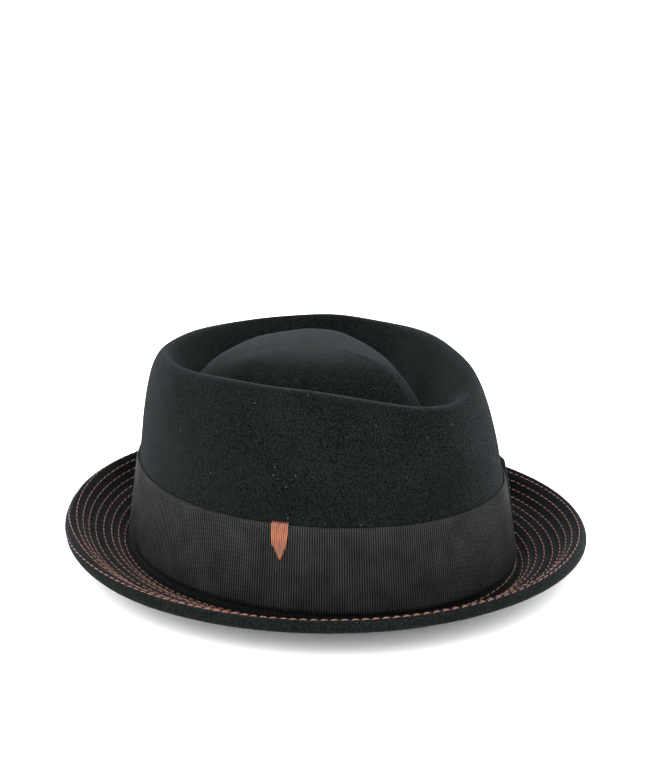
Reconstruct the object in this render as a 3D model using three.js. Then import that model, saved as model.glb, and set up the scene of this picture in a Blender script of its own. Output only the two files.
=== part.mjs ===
// A porkpie hat, standing on the lowest ring of its brim: one hollow felt cap with a ribbon,
// a flat ribbon bow on the wearer's left and a small thread tack on the wearer's right.
// Millimetres, +Z up, the front of the hat towards -Y and the wearer's left towards +X.
import * as THREE from "three";
import { ParametricGeometry } from "three/addons/geometries/ParametricGeometry.js";

// Felt and head opening: the oval is the outside of the felt at the foot of the crown
const FELT_THICKNESS = 2.6;
const SEAT_DEPTH = 0.12; // the underside is flat where it is this close to the table
const HEAD_LENGTH = 207;
const HEAD_WIDTH = 170;

// Crown: crest heights stand above the table, and insets run inwards from the head oval
const CREST_HEIGHT = 107.5;
const CREST_FRONT_DIP = 14.5;
const FRONT_DIP_POWER = 2.7; // how narrowly the front dip is drawn in
const CREST_BACK_DIP = 5;
const CREST_FRONT_INSET = 21.5;
const CREST_BACK_INSET = 23.5;
const CREST_SIDE_INSET = 25;
const CREST_RADIUS = 3.6;
const CREST_PINCH = 0.09;
const SHOULDER_REACH = 5.4;
const SHOULDER_DROP = 6.1;
const WALL_BULGE = 1.3;
const CROWN_LEAN = 6.2;

// Dome and the groove round it: gaps run inwards from the crest
const DOME_RISE = 3;
const DOME_FRONT_GAP = 25.5;
const DOME_BACK_GAP = 22;
const DOME_SIDE_GAP = 12;
const DOME_PINCH = 0.62;
const GROOVE_DEPTH = 20;

// Brim: reach runs outwards from the head oval, and lip heights stand above the table
const BREAK_RADIUS = 4;
const BRIM_END_REACH = 29.6;
const BRIM_SIDE_REACH = 34;
const LIP_FRONT_HEIGHT = 19.6;
const LIP_SIDE_HEIGHT = 20;
const LIP_BACK_HEIGHT = 22;

// Ribbon, bow and tack
const FIT_GAP = 0.3;
const BAND_HEIGHT = 41;
const BAND_THICKNESS = 1;
const BOW_ANGLE = 70;
const BOW_LENGTH = 90;
const BOW_MARGIN = 1.3; // the bow stays this far inside the ribbon's edges
const BOW_DEPTH = 3.8;
const BOW_THICKNESS = 0.8;
const BOW_WAIST = 0.5; // the share of its depth that the loop loses at the knot
const BOW_WAIST_LENGTH = 13.5;
const KNOT_WIDTH = 13;
const KNOT_THICKNESS = 0.8;
const TACK_ANGLE = -68.7;
const TACK_WIDTH = 8.7;
const TACK_TIP_WIDTH = 1.6;
const TACK_LENGTH = 17.6;
const TACK_THICKNESS = 0.8;
const TACK_OVERHANG = 0.8;

// Facets
const AZIMUTHS = 64;
const LIP_ROWS = 3;
const LOOP_POINTS = 36;
const KNOT_STEPS = 4;
const BESIDE = 0.01; // the turn, in radians, over which the skin's direction is taken

// Sizes that follow from those above
const HALF_LENGTH = HEAD_LENGTH / 2;
const HALF_WIDTH = HEAD_WIDTH / 2;
const BAND_FOOT = FELT_THICKNESS + BREAK_RADIUS;
const BAND_OUTSIDE = FIT_GAP + BAND_THICKNESS;
const MIDWAY = 0.5;
const BOW_HEIGHT = BAND_HEIGHT - 2 * BOW_MARGIN;

const CREST_HALF = {
  front: HALF_LENGTH - CREST_FRONT_INSET,
  side: HALF_WIDTH - CREST_SIDE_INSET,
  back: HALF_LENGTH - CREST_BACK_INSET,
};
const DOME_HALF = {
  front: CREST_HALF.front - DOME_FRONT_GAP,
  side: CREST_HALF.side - DOME_SIDE_GAP,
  back: CREST_HALF.back - DOME_BACK_GAP,
};
const CREST_Z = {
  front: CREST_HEIGHT - CREST_FRONT_DIP,
  side: CREST_HEIGHT,
  back: CREST_HEIGHT - CREST_BACK_DIP,
};
const LIP_Z = { front: LIP_FRONT_HEIGHT, side: LIP_SIDE_HEIGHT, back: LIP_BACK_HEIGHT };
const BRIM_REACH = { front: BRIM_END_REACH, side: BRIM_SIDE_REACH, back: BRIM_END_REACH };

// Dome rows, from its middle outwards: size is a share of the dome's half sizes,
// drop a share of the way down to the groove's floor
const DOME_ROWS = [
  { size: 0, drop: 0 },
  { size: 0.25, drop: 0.01 },
  { size: 0.5, drop: 0.04 },
  { size: 0.75, drop: 0.12 },
  { size: 0.95, drop: 0.34 },
  { size: 1.05, drop: 0.72 },
];
const DOME_FOOT = 1.06;

// Crest rows: out is a share of the crest's radius, measured outwards from the crest line,
// drop a share of the same radius below it
const CREST_ROWS = [
  { out: -0.9, drop: 0.55 },
  { out: -0.5, drop: 0.13 },
  { out: 0, drop: 0 },
  { out: 0.6, drop: 0.22 },
];
const GROOVE_WALL_OUT = -1.1;
const GROOVE_WALL_DROP = 0.5;

// Wall rows between the shoulder and the ribbon: down is a share of the way,
// bulge a share of the wall's bulge
const WALL_ROWS = [
  { down: 0, bulge: 0 },
  { down: 0.2, bulge: 0.9 },
  { down: 0.5, bulge: 1 },
  { down: 0.8, bulge: 0.4 },
];

// Rows of the break: out and up are shares of the break's radius
const BREAK_ROWS = [
  { out: 0, up: 1 },
  { out: 0.2, up: 0.42 },
  { out: 0.55, up: 0.1 },
];

// The bow's loop: powers of the cosine along it and of the sine across it
const LOOP_END_POWER = 0.8;
const LOOP_SIDE_POWER = 0.45;

// Brim rows: out is a share of the brim's reach, up a share of the lip's rise over the felt
const BRIM_ROWS = [
  { out: 0.14, up: 0 },
  { out: 0.32, up: 0 },
  { out: 0.5, up: 0.12 },
  { out: 0.66, up: 0.27 },
  { out: 0.82, up: 0.51 },
  { out: 0.93, up: 0.76 },
  { out: 1, up: 1 },
];

// A value that passes from front to side to back as the azimuth turns from 0 to 180 degrees.
function around({ front, side, back }, azimuth, frontPower = 2) {
  const turn = Math.cos(azimuth);
  const end = turn > 0 ? front : back;
  const power = turn > 0 ? frontPower : 2;
  return side + (end - side) * Math.abs(turn) ** power;
}

// The widest value of the pinched sine below, so that the ring keeps its stated half width.
function pinchedWidth(pinch) {
  const turn = pinch ? (1 - Math.sqrt(1 + 8 * pinch * pinch)) / (4 * pinch) : 0;
  return Math.sqrt(1 - turn * turn) * (1 - pinch * turn);
}

// A point of a teardrop ring, narrower at the front by its pinch.
function ringPoint({ front, side, back }, pinch, azimuth, z) {
  const turn = Math.cos(azimuth);
  const share = (1 + turn) / 2;
  const length = back + (front - back) * share * share * (3 - 2 * share);
  const width = (side * Math.sin(azimuth) * (1 - pinch * turn)) / pinchedWidth(pinch);
  return new THREE.Vector3(width, -length * turn, z);
}

// A point at a distance outside the head oval, square to it.
function ovalPoint(azimuth, out, z) {
  const oval = new THREE.Vector3(HALF_WIDTH * Math.sin(azimuth), -HALF_LENGTH * Math.cos(azimuth), z);
  const normal = new THREE.Vector3(oval.x / HALF_WIDTH ** 2, oval.y / HALF_LENGTH ** 2, 0);
  return oval.addScaledVector(normal.normalize(), out);
}

// A point on the crown's lower wall: height is measured up from the ribbon's foot.
function wallPoint(azimuth, height, out = 0) {
  return ovalPoint(azimuth, out - (CROWN_LEAN * height) / BAND_HEIGHT, BAND_FOOT + height);
}

function grownBy({ front, side, back }, by) {
  return { front: front + by, side: side + by, back: back + by };
}

// The top skin at one azimuth, from the middle of the dome to the lip.
function topSkin(azimuth) {
  const crestZ = around(CREST_Z, azimuth, FRONT_DIP_POWER);
  const floorZ = crestZ - GROOVE_DEPTH;
  const domeZ = CREST_HEIGHT + DOME_RISE;
  const domePoint = (size, z) => {
    const scaled = new THREE.Vector3(size, size, 1);
    return ringPoint(DOME_HALF, DOME_PINCH, azimuth, z).multiply(scaled);
  };
  const crestPoint = (out, drop) => {
    return ringPoint(grownBy(CREST_HALF, out), CREST_PINCH, azimuth, crestZ - drop);
  };

  const dome = DOME_ROWS.map(({ size, drop }) => domePoint(size, domeZ - drop * (domeZ - floorZ)));
  const wallOut = GROOVE_WALL_OUT * CREST_RADIUS;
  const groove = [
    domePoint(DOME_FOOT, floorZ).lerp(crestPoint(wallOut, GROOVE_DEPTH), MIDWAY),
    crestPoint(wallOut, GROOVE_WALL_DROP * GROOVE_DEPTH),
  ];
  const crest = CREST_ROWS.map(({ out, drop }) => {
    return crestPoint(out * CREST_RADIUS, drop * CREST_RADIUS);
  });

  const shoulder = crestPoint(SHOULDER_REACH, SHOULDER_DROP);
  const ribbonTop = wallPoint(azimuth, BAND_HEIGHT);
  const wall = WALL_ROWS.map(({ down, bulge }) => {
    const point = shoulder.clone().lerp(ribbonTop, down);
    const outward = new THREE.Vector3(point.x, point.y, 0).normalize();
    return point.addScaledVector(outward, bulge * WALL_BULGE);
  });
  const ribbonSeat = [ribbonTop, wallPoint(azimuth, BAND_HEIGHT / 2)];

  const bend = BREAK_ROWS.map(({ out, up }) =>
    ovalPoint(azimuth, out * BREAK_RADIUS, FELT_THICKNESS + up * BREAK_RADIUS),
  );
  const reach = around(BRIM_REACH, azimuth);
  const rise = around(LIP_Z, azimuth) - FELT_THICKNESS;
  const brim = BRIM_ROWS.map(({ out, up }) => {
    return ovalPoint(azimuth, out * reach, FELT_THICKNESS + up * rise);
  });
  return [...dome, ...groove, ...crest, ...wall, ...ribbonSeat, ...bend, ...brim];
}

// The directions of the skin along its profile and square to it, at one row.
function skinFrame(skin, beside, row) {
  const before = skin[Math.max(row - 1, 0)];
  const after = skin[Math.min(row + 1, skin.length - 1)];
  const inwards = skin[row].clone().sub(before).normalize();
  const outwards = after.clone().sub(skin[row]).normalize();
  const along = inwards.add(outwards).normalize();
  const across = beside[row].clone().sub(skin[row]);
  const normal = row ? along.clone().cross(across).normalize() : new THREE.Vector3(0, 0, 1);
  return { along, normal };
}

// The whole closed profile at one azimuth: the top skin out to the lip, round the lip's edge,
// and back along the underside, one felt thickness away.
function feltProfile(azimuth) {
  const skin = topSkin(azimuth);
  const beside = topSkin(azimuth + BESIDE);
  const under = skin.map((point, row) => {
    const { normal } = skinFrame(skin, beside, row);
    const lower = point.clone().addScaledVector(normal, -FELT_THICKNESS);
    lower.z = lower.z < SEAT_DEPTH ? 0 : lower.z;
    return lower;
  });
  const last = skin.length - 1;
  const { along } = skinFrame(skin, beside, last);
  const middle = skin[last].clone().lerp(under[last], MIDWAY);
  const half = skin[last].clone().sub(middle);
  const edge = Array.from({ length: LIP_ROWS }, (_, step) => {
    const angle = (Math.PI * (step + 1)) / (LIP_ROWS + 1);
    const point = middle.clone().addScaledVector(half, Math.cos(angle));
    return point.addScaledVector(along, (Math.sin(angle) * FELT_THICKNESS) / 2);
  });
  return [...skin, ...edge, ...under.reverse()];
}

function feltGeometry() {
  const turn = (-2 * Math.PI) / AZIMUTHS;
  const profiles = Array.from({ length: AZIMUTHS }, (_, step) => feltProfile(turn * step));
  const rows = profiles[0].length - 1;
  const place = (u, v, target) => {
    const profile = profiles[Math.round(u * AZIMUTHS) % AZIMUTHS];
    target.copy(profile[Math.round(v * rows)]);
  };
  return new ParametricGeometry(place, AZIMUTHS, rows);
}

// The ribbon: a closed ring whose section is a thin upright strip.
function bandGeometry() {
  const section = [
    { height: 0, out: FIT_GAP },
    { height: 0, out: BAND_OUTSIDE },
    { height: BAND_HEIGHT / 2, out: BAND_OUTSIDE },
    { height: BAND_HEIGHT, out: BAND_OUTSIDE },
    { height: BAND_HEIGHT, out: FIT_GAP },
    { height: BAND_HEIGHT / 2, out: FIT_GAP },
  ];
  const place = (u, v, target) => {
    const { height, out } = section[Math.round(v * section.length) % section.length];
    const azimuth = (2 * Math.PI * Math.round(u * AZIMUTHS)) / AZIMUTHS;
    target.copy(wallPoint(azimuth, height, out));
  };
  return new ParametricGeometry(place, AZIMUTHS, section.length);
}

// A function that lays a place on the crown's wall, counted from the middle of a piece: its distance
// along the ribbon, its height over the ribbon's foot and its distance out.
function wallFrom(degrees) {
  const centre = THREE.MathUtils.degToRad(degrees);
  const speed = Math.hypot(HALF_WIDTH * Math.cos(centre), HALF_LENGTH * Math.sin(centre));
  return (along, height, out) => wallPoint(centre - along / speed, height, out);
}

// Lays a flat-made geometry on the crown's wall: read turns a vertex into such a place.
function wrapOnWall(geometry, degrees, read) {
  const onWall = wallFrom(degrees);
  const position = geometry.getAttribute("position");
  for (let i = 0; i < position.count; i++) {
    const { along, height, out } = read(position.getX(i), position.getY(i), position.getZ(i));
    position.setXYZ(i, ...onWall(along, height, out));
  }
  geometry.computeVertexNormals();
  return geometry;
}

// A closed outline of a flat loop, round at its ends, that draws in at its waist. It lies on
// a line at one distance out, and its powers make the ends blunt and the long sides flat.
function loopOutline(halfLength, halfDepth, middle, waist) {
  const power = (value, exponent) => Math.sign(value) * Math.abs(value) ** exponent;
  return Array.from({ length: LOOP_POINTS }, (_, step) => {
    const angle = (2 * Math.PI * step) / LOOP_POINTS;
    const along = halfLength * power(Math.cos(angle), LOOP_END_POWER);
    const drawn = 1 - waist * Math.exp(-((along / BOW_WAIST_LENGTH) ** 2));
    const out = middle + halfDepth * power(Math.sin(angle), LOOP_SIDE_POWER) * drawn;
    return { along, out };
  });
}

// The bow: one ribbon folded to a flat loop, held together at its middle by the knot.
function bowGeometry() {
  const middle = BAND_OUTSIDE + FIT_GAP + KNOT_THICKNESS + FIT_GAP + BOW_DEPTH / 2;
  const outside = loopOutline(BOW_LENGTH / 2, BOW_DEPTH / 2, middle, 0);
  const hollow = { length: BOW_LENGTH / 2 - BOW_THICKNESS, depth: BOW_DEPTH / 2 - BOW_THICKNESS };
  const inside = loopOutline(hollow.length, hollow.depth, middle, BOW_WAIST);
  const edges = [
    { outline: outside, height: BOW_MARGIN },
    { outline: outside, height: BOW_MARGIN + BOW_HEIGHT },
    { outline: inside, height: BOW_MARGIN + BOW_HEIGHT },
    { outline: inside, height: BOW_MARGIN },
  ];
  const onWall = wallFrom(BOW_ANGLE);
  const place = (u, v, target) => {
    const { outline, height } = edges[Math.round(v * edges.length) % edges.length];
    const { along, out } = outline[Math.round(u * LOOP_POINTS) % LOOP_POINTS];
    target.copy(onWall(along, height, out));
  };
  return new ParametricGeometry(place, LOOP_POINTS, edges.length);
}

// A rectangle in the plane of distance out and height.
function uprightOutline(outLow, outHigh, low, high) {
  return [
    new THREE.Vector2(outLow, low),
    new THREE.Vector2(outHigh, low),
    new THREE.Vector2(outHigh, high),
    new THREE.Vector2(outLow, high),
  ];
}

// The knot: a strip of ribbon that goes once round the middle of the bow.
function knotGeometry() {
  const inner = BAND_OUTSIDE + FIT_GAP;
  const outer = inner + 2 * KNOT_THICKNESS + 2 * FIT_GAP + BOW_DEPTH;
  const low = BOW_MARGIN - FIT_GAP - KNOT_THICKNESS;
  const high = BAND_HEIGHT - low;
  const wall = KNOT_THICKNESS;
  const shape = new THREE.Shape(uprightOutline(inner, outer, low, high));
  const hollow = uprightOutline(inner + wall, outer - wall, low + wall, high - wall);
  shape.holes.push(new THREE.Path(hollow));
  const along = { depth: KNOT_WIDTH, steps: KNOT_STEPS, bevelEnabled: false };
  const strip = new THREE.ExtrudeGeometry(shape, along);
  return wrapOnWall(strip, BOW_ANGLE, (x, y, z) => {
    return { along: z - KNOT_WIDTH / 2, height: y, out: x };
  });
}

// The tack: a tapering patch of thread that lies over the ribbon's upper edge.
function tackGeometry() {
  const top = BAND_HEIGHT + TACK_OVERHANG;
  const foot = top - TACK_LENGTH;
  const outline = [
    new THREE.Vector2(foot, -TACK_TIP_WIDTH / 2),
    new THREE.Vector2(top, -TACK_WIDTH / 2),
    new THREE.Vector2(top, 0),
    new THREE.Vector2(top, TACK_WIDTH / 2),
    new THREE.Vector2(foot, TACK_TIP_WIDTH / 2),
    new THREE.Vector2(foot, 0),
  ];
  const shape = new THREE.Shape(outline);
  const patch = new THREE.ExtrudeGeometry(shape, { depth: TACK_THICKNESS, bevelEnabled: false });
  const under = BAND_OUTSIDE + FIT_GAP;
  return wrapOnWall(patch, TACK_ANGLE, (x, y, z) => ({ along: y, height: x, out: under + z }));
}

// Finishes
const felt = new THREE.MeshStandardMaterial({ color: 0x1c1f21, roughness: 0.95, metalness: 0 });
const ribbon = new THREE.MeshStandardMaterial({ color: 0x2b2b2d, roughness: 0.7, metalness: 0 });
const thread = new THREE.MeshStandardMaterial({ color: 0xd98a68, roughness: 0.6, metalness: 0 });

function piece(name, geometry, material) {
  const mesh = new THREE.Mesh(geometry, material);
  mesh.name = name;
  return mesh;
}

const bow = new THREE.Group();
bow.add(piece("bow_ribbon", bowGeometry(), ribbon), piece("bow_knot", knotGeometry(), ribbon));

const hat = new THREE.Group();
hat.add(
  piece("felt_body", feltGeometry(), felt),
  piece("hat_band", bandGeometry(), ribbon),
  bow,
  piece("thread_tack", tackGeometry(), thread),
);

export default hat;
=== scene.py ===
"""A black felt porkpie hat with a stitched brim, a grosgrain ribbon, a flat bow and a thread tack.

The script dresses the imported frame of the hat. The sizes in the classes are millimetres, with +Z up,
the front of the hat towards -Y and the wearer's left towards +X, and meshes are made in metres.
An azimuth is an angle round the hat: 0 at the front, 90 degrees at the wearer's left.
"""

import logging
import math
from dataclasses import dataclass
from enum import Enum
from typing import Callable, Sequence

import bpy
import numpy as np
from mathutils import Matrix, Vector


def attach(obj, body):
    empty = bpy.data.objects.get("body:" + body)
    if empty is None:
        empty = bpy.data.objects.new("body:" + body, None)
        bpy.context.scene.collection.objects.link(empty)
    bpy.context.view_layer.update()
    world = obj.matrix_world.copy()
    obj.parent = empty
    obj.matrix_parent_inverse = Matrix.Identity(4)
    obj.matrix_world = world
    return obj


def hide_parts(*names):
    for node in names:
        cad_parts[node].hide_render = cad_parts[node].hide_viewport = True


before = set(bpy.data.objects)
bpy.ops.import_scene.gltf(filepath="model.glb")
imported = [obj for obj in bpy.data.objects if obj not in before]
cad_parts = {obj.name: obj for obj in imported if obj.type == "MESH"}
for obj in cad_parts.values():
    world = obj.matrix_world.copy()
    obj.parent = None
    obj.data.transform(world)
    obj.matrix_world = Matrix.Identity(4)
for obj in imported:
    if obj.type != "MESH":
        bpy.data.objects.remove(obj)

MM = 0.001
ROOT_BODY = "root"
TINY = 1e-9  # the least length that a vector is divided by
PATH_SAMPLES = 400  # points on a path that is measured before it is built
log = logging.getLogger("porkpie_hat")


class Slot(Enum):
    """The material slots of the hat's record."""

    FELT = "felt"
    RIBBON = "ribbon"
    THREAD = "thread"


@dataclass(frozen=True)
class Ends:
    """A size that passes from the front to the sides to the back of the hat."""

    front: float
    side: float
    back: float

    def at(self, azimuth: np.ndarray, front_power: float = 2.0) -> np.ndarray:
        """The size at each azimuth: side + (end - side) * |cos azimuth| ** power.

        Args:
            azimuth: angles in radians.
            front_power: the power ahead of the sides; behind them it is 2.

        Returns:
            The sizes, one for each azimuth.
        """
        turn = np.cos(azimuth)
        end = np.where(turn > 0, self.front, self.back)
        power = np.where(turn > 0, front_power, 2.0)
        return self.side + (end - self.side) * np.abs(turn) ** power

    def grown(self, by: float) -> "Ends":
        """The same ring, larger by one distance all round."""
        return Ends(self.front + by, self.side + by, self.back + by)


@dataclass(frozen=True)
class HeadOval:
    """The oval at the foot of the crown, outside the felt, and the leaning wall that stands on it."""

    length: float = 207.0
    width: float = 170.0
    ribbon_foot: Ends = Ends(6.6, 6.6, 11.6)
    ribbon_height: float = 41.0
    lean: float = 6.2

    def point(self, azimuth: np.ndarray, out: np.ndarray, z: np.ndarray) -> np.ndarray:
        """Points at a distance outside the oval, square to it.

        Args:
            azimuth: angles in radians, of any shape.
            out: distances outside the oval.
            z: heights above the table.

        Returns:
            Points, with one more axis than the azimuths.
        """
        half_width, half_length = self.width / 2, self.length / 2
        x, y = half_width * np.sin(azimuth), -half_length * np.cos(azimuth)
        nx, ny = x / half_width**2, y / half_length**2
        size = np.hypot(nx, ny)
        return np.stack(np.broadcast_arrays(x + nx / size * out, y + ny / size * out, z), -1)

    def wall(self, azimuth: np.ndarray, height: np.ndarray, out: np.ndarray = 0.0) -> np.ndarray:
        """Points on the crown's lower wall, which leans inwards by lean over the ribbon's height.

        Args:
            azimuth: angles in radians.
            height: heights over the ribbon's foot.
            out: distances outside the wall.

        Returns:
            Points on the wall.
        """
        inward = self.lean * height / self.ribbon_height
        return self.point(azimuth, out - inward, self.ribbon_foot.at(azimuth) + height)

    def speed(self, azimuth: float) -> float:
        """Millimetres along the oval for each radian, at one azimuth."""
        return math.hypot(self.width / 2 * math.cos(azimuth), self.length / 2 * math.sin(azimuth))


@dataclass(frozen=True)
class Row:
    """One row of a profile: out and drop are shares of the sizes that they follow."""

    out: float
    drop: float


def catmull_rom(knots: np.ndarray, steps: Sequence[int]) -> tuple[np.ndarray, np.ndarray]:
    """A centripetal Catmull-Rom curve through the knots of each column.

    Between two knots p1 and p2 the curve is the cubic with the slopes that the chords' square roots
    t0, t1 and t2 give: m1 = t1 * ((p1 - p0) / t0 - (p2 - p0) / (t0 + t1) + (p2 - p1) / t1), and alike at p2.

    Args:
        knots: an array of knots x columns x 3.
        steps: how many points each stretch between two knots gets.

    Returns:
        The points, rows x columns x 3, and the row at which each knot lies.
    """

    def chord(a: np.ndarray, b: np.ndarray) -> np.ndarray:
        """The square root of the distance between two knots."""
        return np.maximum(((a - b) ** 2).sum(-1), 1e-6) ** 0.25

    rows, at = [], []
    for i, count in enumerate(steps):
        p1, p2 = knots[i], knots[i + 1]
        p0 = knots[i - 1] if i else 2 * p1 - p2
        p3 = knots[i + 2] if i + 2 < len(knots) else 2 * p2 - p1
        t0, t1, t2 = (chord(a, b)[:, None] for a, b in ((p0, p1), (p1, p2), (p2, p3)))
        m1 = t1 * ((p1 - p0) / t0 - (p2 - p0) / (t0 + t1) + (p2 - p1) / t1)
        m2 = t1 * ((p2 - p1) / t1 - (p3 - p1) / (t1 + t2) + (p3 - p2) / t2)
        t = (np.arange(count) / count)[:, None, None]
        at.append(sum(len(r) for r in rows))
        rows.append(
            (2 * t**3 - 3 * t**2 + 1) * p1
            + (t**3 - 2 * t**2 + t) * m1
            + (3 * t**2 - 2 * t**3) * p2
            + (t**3 - t**2) * m2
        )
    at.append(sum(len(r) for r in rows))
    rows.append(knots[-1:])
    return np.concatenate(rows), np.array(at)


def unit(vectors: np.ndarray) -> np.ndarray:
    """The vectors at length 1."""
    return vectors / np.maximum(np.linalg.norm(vectors, axis=-1, keepdims=True), TINY)


def signed_power(value: np.ndarray, exponent: float) -> np.ndarray:
    """The power of each value's size, with the value's own sign."""
    return np.sign(value) * np.abs(value) ** exponent


def direction(azimuth: float, elevation: float) -> Vector:
    """The way from the hat to an azimuth and an elevation, both in degrees."""
    a, e = math.radians(azimuth), math.radians(elevation)
    return Vector((math.sin(a) * math.cos(e), -math.cos(a) * math.cos(e), math.sin(e)))


def grid_normals(points: np.ndarray) -> np.ndarray:
    """The outward normals of a grid of points whose columns go once round the hat."""
    along, across = np.gradient(points, axis=0), np.roll(points, -1, 1) - np.roll(points, 1, 1)
    return unit(np.cross(along, across))


def lengths_along(points: np.ndarray) -> np.ndarray:
    """The distance run along the first axis of a grid of points."""
    steps = np.linalg.norm(np.diff(points, axis=0), axis=-1)
    return np.concatenate([np.zeros_like(steps[:1]), np.cumsum(steps, axis=0)])


def waves(azimuth: np.ndarray, along: np.ndarray, seed: int, terms: int = 9) -> np.ndarray:
    """A soft irregular field of about -1 to 1.

    It is the sum of sin(turns * azimuth + pace * along + phase) over some terms, by their square root,
    with 2 to 10 whole turns round the hat and a pace of up to 0.09 radians for each millimetre.

    Args:
        azimuth: angles in radians.
        along: distances along the profile in millimetres.
        seed: the seed of the field.
        terms: how many sines are added.

    Returns:
        The field at each point.
    """
    draw = np.random.default_rng(seed)
    turns = draw.integers(2, 11, terms)
    pace = draw.uniform(-0.09, 0.09, terms)
    phase = draw.uniform(0, 2 * math.pi, terms)
    shape = (slice(None),) + (None,) * np.ndim(azimuth)
    field_sum = np.sin(turns[shape] * azimuth[None] + pace[shape] * along[None] + phase[shape]).sum(0)
    return field_sum / math.sqrt(terms)


def mesh_object(
    name: str,
    points: np.ndarray,
    faces: Sequence[np.ndarray],
    uv: Sequence[np.ndarray] | None = None,
    attributes: dict[str, np.ndarray] | None = None,
) -> bpy.types.Object:
    """Makes a smooth mesh object at the origin from arrays.

    Args:
        name: the object's name.
        points: vertices x 3, in millimetres.
        faces: arrays of faces x corners, each with its own number of corners.
        uv: for each array of faces, its corners' coordinates.
        attributes: named values, one for each vertex.

    Returns:
        The new object.
    """
    mesh = bpy.data.meshes.new(name)
    corners = np.concatenate([f.ravel() for f in faces]).astype(np.int32)
    totals = np.concatenate([np.full(len(f), f.shape[1]) for f in faces])
    mesh.vertices.add(len(points))
    mesh.vertices.foreach_set("co", (points * MM).astype(np.float32).ravel())
    mesh.loops.add(len(corners))
    mesh.loops.foreach_set("vertex_index", corners)
    mesh.polygons.add(len(totals))
    starts = np.concatenate([[0], np.cumsum(totals)[:-1]]).astype(np.int32)
    mesh.polygons.foreach_set("loop_start", starts)
    mesh.update(calc_edges=True)
    if uv is not None:
        layer = mesh.uv_layers.new(name="weave")
        layer.data.foreach_set("uv", np.concatenate([c.reshape(-1) for c in uv]).astype(np.float32))
    for key, values in (attributes or {}).items():
        layer = mesh.attributes.new(key, "FLOAT", "POINT")
        layer.data.foreach_set("value", values.astype(np.float32).ravel())
    mesh.shade_smooth()
    mesh.validate()
    made = bpy.data.objects.new(name, mesh)
    bpy.context.scene.collection.objects.link(made)
    return made


def grid_faces(rows: int, columns: int, close_rows: bool = False, close_columns: bool = False) -> np.ndarray:
    """The quads of a grid whose vertices are numbered row by row, wrapped where it closes."""
    i = np.arange(rows if close_rows else rows - 1)[:, None]
    j = np.arange(columns if close_columns else columns - 1)[None]
    below, beside = (i + 1) % rows, (j + 1) % columns
    quad = [i * columns + j, below * columns + j, below * columns + beside, i * columns + beside]
    return np.stack(np.broadcast_arrays(*quad), -1).reshape(-1, 4)


def dress(piece: bpy.types.Object, material: bpy.types.Material, slot: Slot, *nodes: str) -> bpy.types.Object:
    """Gives a piece its material, logs its slot, and makes it ride on the hat's one body.

    Args:
        piece: the new piece.
        material: its material.
        slot: the record's slot for that material.
        nodes: the frame's nodes that the piece stands for.

    Returns:
        The same piece.
    """
    piece.data.materials.append(material)
    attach(piece, ROOT_BODY)
    if nodes:
        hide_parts(*nodes)
    triangles = sum(len(p.vertices) - 2 for p in piece.data.polygons)
    log.info("%s: %d triangles, slot %s", piece.name, triangles, slot.value)
    return piece


@dataclass(frozen=True)
class Grain:
    """A noise: its features to the metre, how many octaves it has and how strong the finer ones are."""

    scale: float
    detail: float
    rough: float


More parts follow.
